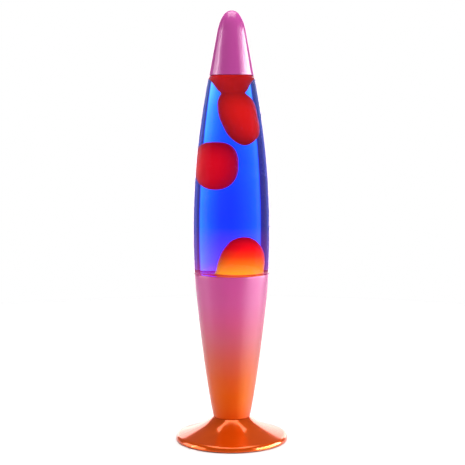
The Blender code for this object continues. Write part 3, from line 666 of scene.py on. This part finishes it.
def shape_glass():
    """Bottle of thick glass. Its inner faces carry the step from glass to liquid."""
    ledge = LIP_Z + GAP
    foot = BOTTLE_FOOT
    seat = LIP_RADIUS - BODY_WALL - 0.5 * MM
    outside = [(0, BOTTLE_LOW + 2 * MM), (0.8 * foot, BOTTLE_LOW)]
    outside += bezier((0.88 * foot, BOTTLE_LOW), (foot, BOTTLE_LOW), (foot, BOTTLE_LOW + 3.5 * MM), steps=8)
    outside += [(seat, LIP_Z - 0.5 * MM), (seat, ledge)]
    top = SHOULDER_Z - 2.2 * MM
    outside += glass_side(ledge, top, 0.0)
    inside_cap = CAP_RADIUS - 1.7 * MM
    outside += bezier((SHOULDER_RADIUS, SHOULDER_Z - 1.6 * MM), (SHOULDER_RADIUS, SHOULDER_Z),
                      (inside_cap, SHOULDER_Z), steps=10)
    outside += [(inside_cap - 1.2 * MM, SHOULDER_Z + 1.0 * MM)]
    outside += [(13.0 * MM, SHOULDER_Z + 4.0 * MM), (12.0 * MM, SHOULDER_Z + 5.8 * MM)]
    outside += [(12.0 * MM, MOUTH_Z - 4.0 * MM), (13.2 * MM, MOUTH_Z - 3.2 * MM)]
    outside += [(13.2 * MM, MOUTH_Z - 0.8 * MM), (12.4 * MM, MOUTH_Z)]
    floor = BOTTLE_LOW + GLASS_WALL + 2 * MM
    ceiling = SHOULDER_Z - 0.9 * MM
    inside = [(8.0 * MM, MOUTH_Z), (8.0 * MM, SHOULDER_Z + 3.0 * MM), (11.0 * MM, SHOULDER_Z + 0.4 * MM)]
    inside += glass_side(ceiling, LIP_Z, GLASS_WALL)
    corner = foot - GLASS_WALL
    inside += [(corner, floor + 3 * MM), (corner - 3 * MM, floor), (0, floor)]
    first = rounded(outside, 0.8 * MM, ring=False)
    second = rounded(inside, 1.0 * MM, ring=False)
    bm = spun(first + second, ring=False)
    made = piece("bottle_glass_wall", bm, [glass_wall("bottle_glass_outside", 1.5, 1.00),
                 glass_wall("bottle_glass_bore", 1.103, 0.0)], "bottle", "glass_globe",
                 material_slot="bottle_glass", crease=50)
    for face in made.data.polygons:
        middle = face.center
        radius = math.hypot(middle.x, middle.y)
        wall = bottle_radius(middle.z) - GLASS_WALL / 2 if middle.z > LIP_Z else foot + (
            LIP_RADIUS - foot) * max(middle.z - floor, 0) / (LIP_Z - floor) - GLASS_WALL / 2
        low = middle.z < floor - MM
        if not low and radius < wall and middle.z < SHOULDER_Z - 0.8 * MM:
            face.material_index = 1
    return made


DROP_ROWS = [
    (0.645, 0.34, -0.15, 0.02), (0.648, 0.34, -0.15, 0.10), (0.665, 0.34, -0.15, 0.26),
    (0.696, 0.33, -0.15, 0.43), (0.742, 0.28, -0.15, 0.53), (0.785, 0.21, -0.15, 0.58),
    (0.836, 0.16, -0.15, 0.61), (0.861, 0.13, -0.15, 0.59), (0.884, 0.10, -0.15, 0.53),
    (0.904, 0.05, -0.15, 0.43), (0.919, 0.03, -0.15, 0.53), (0.945, 0.01, -0.12, 0.67),
    (0.968, 0.00, -0.06, 0.82), (0.980, 0.00, 0.00, 0.93), (0.986, 0.00, 0.00, 0.99),
]
MOUND_ROWS = [
    (0.004, 0.17, -0.10, 0.59), (0.008, 0.18, -0.10, 0.56), (0.026, 0.20, -0.10, 0.55),
    (0.057, 0.22, -0.10, 0.54), (0.087, 0.24, -0.10, 0.51), (0.118, 0.25, -0.10, 0.46),
    (0.148, 0.26, -0.10, 0.37), (0.169, 0.26, -0.10, 0.28), (0.182, 0.27, -0.10, 0.17),
    (0.187, 0.27, -0.10, 0.10), (0.189, 0.27, -0.10, 0.02),
]


def blob_sections(rows, count):
    """Level circles, in metres, from rows of shares of the glass and of the bore."""
    made = []
    for share, x, y, wide in eased(rows, count):
        z = LIP_Z + share * SHOWN
        bore = bore_radius(z)
        made.append((x * bore, y * bore, z, max(wide, 0.01) * bore))
    return made


def shape_wax_drop():
    """Risen wax under the shoulder, necking into a hanging drop."""
    sections = blob_sections(DROP_ROWS, 110)
    ceiling = SHOULDER_Z - 1.1 * MM
    sections.append((0, 0, ceiling - 0.3 * MM, bore_radius(ceiling)))
    sections.append((0, 0, ceiling, bore_radius(ceiling) - 0.3 * MM))
    # Painted glow: bright red at the drop's lower end, darker towards the shoulder
    look = wax_look("risen_wax", [(0.0, (1.0, 0.008, 0.005)), (0.45, (0.90, 0.010, 0.004)),
                    (0.75, (0.55, 0.009, 0.004)), (1.0, (0.27, 0.007, 0.005))],
                    LIP_Z + 0.645 * SHOWN, LIP_Z + SHOWN, 1.0, 2.4)
    piece("risen_wax_drop", lofted(sections), look, "bottle", "wax_top_drop", material_slot="red_wax")


def shape_wax_float():
    """Free blob: an upright egg, fuller above. It stays clear of the bore as far as it rises."""
    low, high = Vector(FLOAT_BOX[0]), Vector(FLOAT_BOX[1])
    middle, half = (low + high) / 2, (high - low) / 2
    bm = bmesh.new()
    bmesh.ops.create_uvsphere(bm, u_segments=80, v_segments=56, radius=1.0)
    for vert in bm.verts:
        t = vert.co.z
        power = 2.7 if t > 0 else 2.2
        round_ = math.sqrt(max(1 - t * t, 1e-9))
        vert.co.xy *= (1 - abs(t) ** power + 1e-9) ** (1 / power) / round_
    bmesh.ops.scale(bm, verts=bm.verts, vec=half)
    bmesh.ops.translate(bm, verts=bm.verts, vec=middle)
    for vert in bm.verts:
        clear = min(bore_radius(vert.co.z), bore_radius(vert.co.z + BLOB_RISE)) - BLOB_CLEAR
        reach = vert.co.xy.length
        if reach > clear:
            vert.co.xy *= clear / reach
    # Painted glow: bright red below, darker towards the top
    look = wax_look("floating_wax", [(0.0, (1.0, 0.002, 0.006)), (0.6, (0.90, 0.002, 0.006)),
                    (1.0, (0.50, 0.001, 0.005))], low.z, high.z, 0.85, 5.0)
    piece("floating_wax_egg", bm, look, "floating_wax", "wax_floating_blob", material_slot="red_wax")


def shape_wax_mound():
    """Settled wax with a mound that bulges up through the lip, its painted glow yellowest at its base."""
    floor = MOUND_LOW
    corner = BOTTLE_FOOT - GLASS_WALL - GAP
    pool = LIP_Z + 0.5 * MM
    taper = (bore_radius(LIP_Z) - corner) / (LIP_Z - floor - 3 * MM)
    sections = [(0, 0, floor, corner - 3 * MM), (0, 0, floor + 3 * MM, corner)]
    sections += [(0, 0, floor + 3 * MM + (pool - floor - 3.6 * MM) * i / 8,
                  corner + taper * (pool - floor - 3.6 * MM) * i / 8) for i in range(1, 9)]
    rim = corner + taper * (pool - floor - 3 * MM)
    sections += [(0, 0, pool - 0.15 * MM, rim), (0, 0, pool, rim - 0.4 * MM)]
    sections += blob_sections(MOUND_ROWS, 70)
    # Painted glow: dim at the pool under the lip, yellow-orange just above it, red higher up
    look = wax_look("settled_wax", [(0.0, (0.05, 0.0, 0.001)), (0.03, (1.0, 0.17, 0.0)),
                    (0.28, (1.0, 0.08, 0.0)), (0.50, (1.0, 0.018, 0.0)),
                    (0.70, (1.0, 0.002, 0.001)), (1.0, (0.85, 0.001, 0.002))],
                    LIP_Z + 0.6 * MM, LIP_Z + 0.189 * SHOWN, 4.0, 7.0)
    piece("settled_wax_mound", lofted(sections, 96), look, "bottle", "wax_bottom_mound",
          material_slot="red_wax")


def shape_liquid():
    """The liquid fills the bore from inside the pool of wax to the risen wax."""
    low, high = LIP_Z - 0.5 * MM, LIQUID_TOP
    side = [(bore_radius(low + (high - low) * i / 70), low + (high - low) * i / 70) for i in range(71)]
    bm = spun([(0, low)] + side + [(0, high)], ring=False)
    piece("lamp_liquid", bm, liquid_look(), "bottle", "globe_liquid", material_slot="blue_liquid")


def shape_crown():
    """Crown closure with rounded flutes round its skirt."""
    low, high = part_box("crown_cap")
    top, bottom, wall, inner = high[2] - 0.4 * MM, low[2], 0.4 * MM, 13.7 * MM
    outer = bezier((inner - 0.8 * MM, top + wall), (inner + wall, top + wall),
                   (inner + wall + 0.2 * MM, top - 1.6 * MM), (inner + wall + 1.8 * MM, bottom), steps=22)
    path = [Vector((0, top + wall))] + outer
    bm = spun(rounded(path + offset(path, wall)[::-1], 0.12 * MM, 3, ring=False), 336, ring=False)
    for vert in bm.verts:
        fall = (top - 1.2 * MM - vert.co.z) / (top - 1.2 * MM - bottom)
        if fall > 0:
            turn = math.atan2(vert.co.y, vert.co.x) * 21
            vert.co.xy *= 1 + 0.5 * MM * min(fall, 1) * math.cos(turn) / vert.co.xy.length
    piece("fluted_crown", bm, crown_look(), "bottle", "crown_cap", material_slot="zinc_steel")


# ---------------------------------------------------------------- CAD nodes that stay


def dress(look, *nodes):
    """Give CAD nodes a finished material."""
    for node in nodes:
        for each in frame["nodes"][node].material_slots:
            each.material = look


def dress_hidden_parts():
    steel, brass, plastic = steel_look(), brass_look(), plastic_look()
    dress(steel, "bottom_washer", "bottom_nut", "foot_nut", "body_washer", "body_nut", "threaded_tube",
          "terminal_screw_left", "terminal_screw_right", "bulb_thread_shell", "bulb_tip_contact",
          "bulb_lead_left", "bulb_lead_right", "bulb_filament", "wire_coil")
    dress(brass, "lampholder_thread_shell", "lampholder_contact")
    dress(plastic, "bottom_cover", "lampholder_dome", "lampholder_sleeve", "bulb_insulator")
    dress(porcelain_look(), "lampholder_core")
    dress(rubber_look(), "crown_liner")
    dress(bulb_glass_look(), "bulb_envelope", "bulb_stem")


# ---------------------------------------------------------------- studio


def camera():
    data = bpy.data.cameras.new("camera")
    data.lens = LENS
    data.sensor_width = 36.0
    data.clip_start = 0.05
    data.clip_end = 30.0
    made = bpy.data.objects.new("camera", data)
    made.location = (EYE_SIDE, -DISTANCE, EYE_HEIGHT)
    made.rotation_euler = (math.pi / 2 - PITCH, 0, 0)
    bpy.context.scene.collection.objects.link(made)
    bpy.context.scene.camera = made


def softbox(name, spot, size, power, lit="softbox_lit", mirrored_only=False):
    """Area light that faces the lamp. The floor doesn't stand in its way."""
    data = bpy.data.lights.new(name, "AREA")
    data.shape = "RECTANGLE"
    data.size, data.size_y = size
    data.energy = power
    made = bpy.data.objects.new(name, data)
    made.location = spot
    made.rotation_euler = (AIM - Vector(spot)).to_track_quat("-Z", "Y").to_euler()
    made.visible_camera = False
    made.visible_diffuse = not mirrored_only
    made.light_linking.receiver_collection = bpy.data.collections[lit]
    made.light_linking.blocker_collection = bpy.data.collections["lamp_pieces"]
    bpy.context.scene.collection.objects.link(made)
    return made


# Brightness round the lamp, by bearing in degrees from +Y towards +X
PANEL = 4.6
OVERHEAD = 0.15
STUDIO_ROUND = [
    (-180, 0.25), (-100, 0.40), (-84, 0.12), (-52, 0.18), (-28, 0.34), (-26, 3.6), (-16, 2.9),
    (0, 1.8), (8, 1.8), (22, 3.6), (32, 4.6), (34, 0.34), (55, 0.18), (84, 0.12), (100, 0.40), (180, 0.25),
]


def studio_world():
    """White to the camera. To the lamp: a bright panel behind it between dim sides."""
    world = bpy.data.worlds.new("studio")
    bpy.context.scene.world = world
    world.use_nodes = True
    tree = world.node_tree
    tree.nodes.clear()

    def math_node(operation, first, second=None, clamp=False):
        made = tree.nodes.new("ShaderNodeMath")
        made.operation = operation
        made.use_clamp = clamp
        for socket, value in zip(made.inputs, (first, second)):
            if value is None:
                continue
            if isinstance(value, (int, float)):
                socket.default_value = value
            else:
                tree.links.new(value, socket)
        return made.outputs[0]

    way = tree.nodes.new("ShaderNodeTexCoord").outputs["Generated"]
    split = tree.nodes.new("ShaderNodeSeparateXYZ")
    tree.links.new(way, split.inputs[0])
    x, y, z = split.outputs
    turn = math_node("ADD", math_node("DIVIDE", math_node("ARCTAN2", x, y), math.tau), 0.5)

    around = tree.nodes.new("ShaderNodeValToRGB")
    while len(around.color_ramp.elements) < len(STUDIO_ROUND):
        around.color_ramp.elements.new(0.5)
    for element, (bearing, level) in zip(around.color_ramp.elements, STUDIO_ROUND):
        element.position = 0.5 + bearing / 360
        element.color = (level / PANEL, level / PANEL, level / PANEL, 1.0)
    tree.links.new(turn, around.inputs[0])
    ray = tree.nodes.new("ShaderNodeLightPath")
    level = math_node("MULTIPLY", around.outputs[0], PANEL)
    above = math_node("DIVIDE", math_node("SUBTRACT", math_node("ABSOLUTE", z), SIDE_CLIMB), 0.05, True)
    level = math_node("MULTIPLY", level, math_node("SUBTRACT", 1.0, above))
    soft = math_node("MULTIPLY", ray.outputs["Is Diffuse Ray"], 0.6)
    level = math_node("ADD", level, math_node("MULTIPLY", above, math_node("ADD", soft, OVERHEAD)))
    seen = tree.nodes.new("ShaderNodeBackground")
    seen.inputs["Color"].default_value = (1, 1, 1, 1)
    seen.inputs["Strength"].default_value = 1.0
    studio = tree.nodes.new("ShaderNodeBackground")
    studio.inputs["Color"].default_value = (1, 1, 1, 1)
    tree.links.new(level, studio.inputs["Strength"])
    mix = tree.nodes.new("ShaderNodeMixShader")
    tree.links.new(ray.outputs["Is Camera Ray"], mix.inputs[0])
    tree.links.new(studio.outputs[0], mix.inputs[1])
    tree.links.new(seen.outputs[0], mix.inputs[2])
    output = tree.nodes.new("ShaderNodeOutputWorld")
    tree.links.new(mix.outputs[0], output.inputs["Surface"])


def floor():
    bm = bmesh.new()
    bmesh.ops.create_circle(bm, cap_ends=True, radius=0.9, segments=96)
    mesh = bpy.data.meshes.new("studio_floor")
    bm.to_mesh(mesh)
    bm.free()
    look = Look("pale_floor")
    two_tone(look, 6.0, (0.88, 0.88, 0.88), (0.90, 0.90, 0.90))
    look.set(Roughness=0.85)
    mesh.materials.append(look.material)
    made = bpy.data.objects.new("studio_floor", mesh)
    bpy.context.scene.collection.objects.link(made)
    return made


# The bottle and what it holds
IN_THE_BOTTLE = ("bottle_glass_wall", "lamp_liquid", "risen_wax_drop", "floating_wax_egg",
                 "settled_wax_mound")


def studio():
    """The softboxes are flagged off the bottle, which has a dimmer one on each side."""
    lit = bpy.data.collections.new("softbox_lit")
    bottle = bpy.data.collections.new("bottle_lit")
    pieces = bpy.data.collections.new("lamp_pieces")
    for each in list(bpy.data.objects):
        if each.type == "MESH":
            pieces.objects.link(each)
            (bottle if each.name in IN_THE_BOTTLE else lit).objects.link(each)
    studio_world()
    lit.objects.link(floor())
    softbox("right_softbox", (0.95, -0.42, 0.30), (0.75, 1.2), 4)
    softbox("overhead_softbox", (0.0, 0.1, 1.5), (1.2, 1.2), 18)
    softbox("right_panel", (1.05, -0.10, -0.05), (1.5, 1.8), 145, mirrored_only=True)
    softbox("left_panel", (-1.05, -0.10, -0.05), (1.3, 1.8), 32, mirrored_only=True)
    softbox("left_strip", (-1.05, -0.09, 0.30), (0.10, 1.2), 4, mirrored_only=True)
    for side in (-1, 1):
        softbox("bottle_panel", (side, 0.32, 0.30), (1.3, 1.6), 2.5, "bottle_lit", True)


def main():
    bpy.context.scene.view_settings.view_transform = "Standard"
    camera()
    shape_foot()
    shape_rubber_ring()
    shape_body()
    shape_grommet()
    shape_cap()
    shape_glass()
    shape_liquid()
    shape_wax_drop()
    shape_wax_float()
    shape_wax_mound()
    shape_crown()
    dress_hidden_parts()
    studio()


main()
